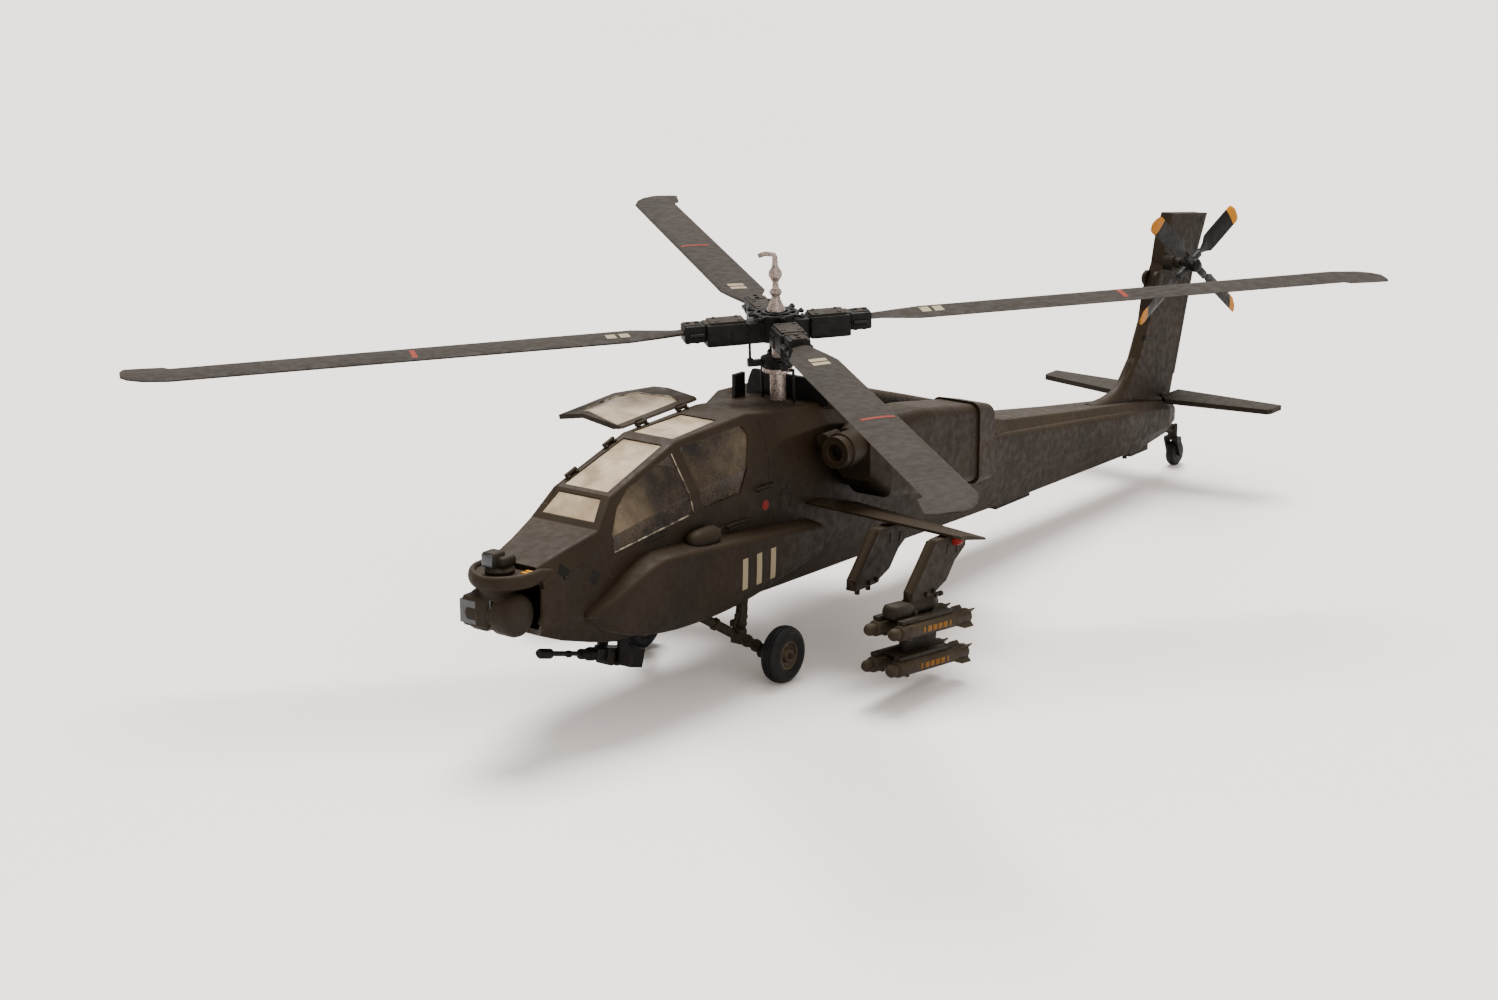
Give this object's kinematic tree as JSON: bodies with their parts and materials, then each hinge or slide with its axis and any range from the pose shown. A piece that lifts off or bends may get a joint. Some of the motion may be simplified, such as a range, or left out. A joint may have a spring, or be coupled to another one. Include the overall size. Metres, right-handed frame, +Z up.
{
  "type": "toy helicopter",
  "caption": "Small assembly-kit attack helicopter with a turning main rotor, tail rotor, opening cockpit doors, swivelling chin gun and sensor turrets.",
  "frame": {"origin": "centre of the overall bounding box in X and Y, on the ground the wheels stand on", "axes": "+X to the port side, -Y towards the nose, +Z up"},
  "size_m": [0.232, 0.3276, 0.0946],
  "materials": {
    "hull_olive": "matte olive-brown paint",
    "glazing": "clear plastic, slightly frosted",
    "turret_glass": "grey-blue tinted",
    "cockpit_grey": "matte",
    "dark_metal": "matte dark grey paint",
    "silver_paint": "silver paint with a fine speckle",
    "blade_grey": "matte grey-brown paint",
    "missile_paint": "matte dark olive paint",
    "strut_paint": "matte paint",
    "tyre": "matte black"
  },
  "bodies": {
    "airframe": {"fuselage_half_port": "hull_olive", "fuselage_half_starboard": "hull_olive", "canopy_frame": "hull_olive", "avionics_bay_port": "hull_olive", "avionics_bay_starboard": "hull_olive", "nose_tray": "hull_olive", "transmission_fairing": "hull_olive", "arched_bulkhead": "hull_olive", "engine_nacelles": "hull_olive", "nose_gearboxes": "hull_olive", "wing_port": "hull_olive", "wing_starboard": "hull_olive", "pylons": "hull_olive", "vertical_fin": "hull_olive", "fin_flap": "hull_olive", "belly_boxes": "hull_olive", "door_hinges": "hull_olive", "tail_strut": "hull_olive", "tail_rotor_gearbox": "hull_olive", "canopy_panes": "glazing", "cockpit_tub": "cockpit_grey", "front_seat": "cockpit_grey", "rear_seat": "cockpit_grey", "instrument_panels": "cockpit_grey", "control_sticks": "cockpit_grey", "exhaust_suppressors": "dark_metal", "launchers": "dark_metal", "static_mast": "silver_paint", "control_rods": "silver_paint", "air_data_sensor": "silver_paint", "missiles": "missile_paint", "main_gear_legs": "strut_paint"},
    "main_rotor": {"swashplate": "dark_metal", "pitch_links": "dark_metal", "rotor_hub": "dark_metal", "hub_top_plate": "dark_metal", "blade_grips": "dark_metal", "main_blade_1": "blade_grey", "main_blade_2": "blade_grey", "main_blade_3": "blade_grey", "main_blade_4": "blade_grey"},
    "tail_rotor": {"tail_rotor_hub": "dark_metal", "tail_rotor_blades": "blade_grey"},
    "pilot_door": {"pilot_door": "hull_olive", "pilot_door_pane": "glazing"},
    "gunner_door": {"gunner_door": "hull_olive", "gunner_door_pane": "glazing"},
    "sight_turret": {"lower_turret": "dark_metal", "turret_windows": "turret_glass"},
    "night_vision_turret": {"upper_turret": "dark_metal"},
    "gun_yaw": {"gun_mount": "dark_metal"},
    "gun": {"gun_receiver": "dark_metal", "gun_barrel": "dark_metal"},
    "wheel_port": {"tyre_port": "tyre", "wheel_hub_port": "dark_metal"},
    "wheel_starboard": {"tyre_starboard": "tyre", "wheel_hub_starboard": "dark_metal"},
    "tail_caster": {"tail_fork": "hull_olive"},
    "tail_wheel": {"tail_wheel": "tyre"},
    "stabilator": {"stabilator": "hull_olive"}
  },
  "joints": [
    {"name": "main_rotor_spin", "type": "hinge", "parent": "airframe", "child": "main_rotor", "pos_m": [0, -0.04782, 0.0772], "axis": [0, -0.0377, 0.9993], "continuous": true},
    {"name": "tail_rotor_spin", "type": "hinge", "parent": "airframe", "child": "tail_rotor", "pos_m": [0.01, 0.13638, 0.0622], "axis": [1, 0, 0], "continuous": true},
    {"name": "pilot_door_hinge", "type": "hinge", "parent": "airframe", "child": "pilot_door", "pos_m": [-0.007, -0.09672, 0.06092], "axis": [0, 0.9993, 0.0374], "range_deg": [-78, 0]},
    {"name": "gunner_door_hinge", "type": "hinge", "parent": "airframe", "child": "gunner_door", "pos_m": [-0.007, -0.12072, 0.05365], "axis": [0, 0.9567, 0.291], "range_deg": [0, 80]},
    {"name": "sight_turret_turn", "type": "hinge", "parent": "airframe", "child": "sight_turret", "pos_m": [0, -0.14942, 0.0326], "axis": [0, 0, 1], "range_deg": [-120, 120]},
    {"name": "night_vision_turret_turn", "type": "hinge", "parent": "airframe", "child": "night_vision_turret", "pos_m": [0, -0.14862, 0.043], "axis": [0, 0, 1], "range_deg": [-90, 90]},
    {"name": "gun_turn", "type": "hinge", "parent": "airframe", "child": "gun_yaw", "pos_m": [0, -0.11082, 0.016], "axis": [0, 0, 1], "range_deg": [-86, 86]},
    {"name": "gun_depress", "type": "hinge", "parent": "gun_yaw", "child": "gun", "pos_m": [0, -0.11082, 0.0126], "axis": [1, 0, 0], "range_deg": [-3, 35]},
    {"name": "wheel_port_roll", "type": "hinge", "parent": "airframe", "child": "wheel_port", "pos_m": [0.0211, -0.07452, 0.0068], "axis": [1, 0, 0], "continuous": true},
    {"name": "wheel_starboard_roll", "type": "hinge", "parent": "airframe", "child": "wheel_starboard", "pos_m": [-0.0211, -0.07452, 0.0068], "axis": [1, 0, 0], "continuous": true},
    {"name": "tail_caster_swivel", "type": "hinge", "parent": "airframe", "child": "tail_caster", "pos_m": [0, 0.14718, 0.009], "axis": [0, 0, 1], "continuous": true},
    {"name": "tail_wheel_roll", "type": "hinge", "parent": "tail_caster", "child": "tail_wheel", "pos_m": [0, 0.14878, 0.0037], "axis": [1, 0, 0], "continuous": true},
    {"name": "stabilator_tilt", "type": "hinge", "parent": "airframe", "child": "stabilator", "pos_m": [0, 0.13578, 0.0236], "axis": [1, 0, 0], "range_deg": [-25, 5]}
  ]
}
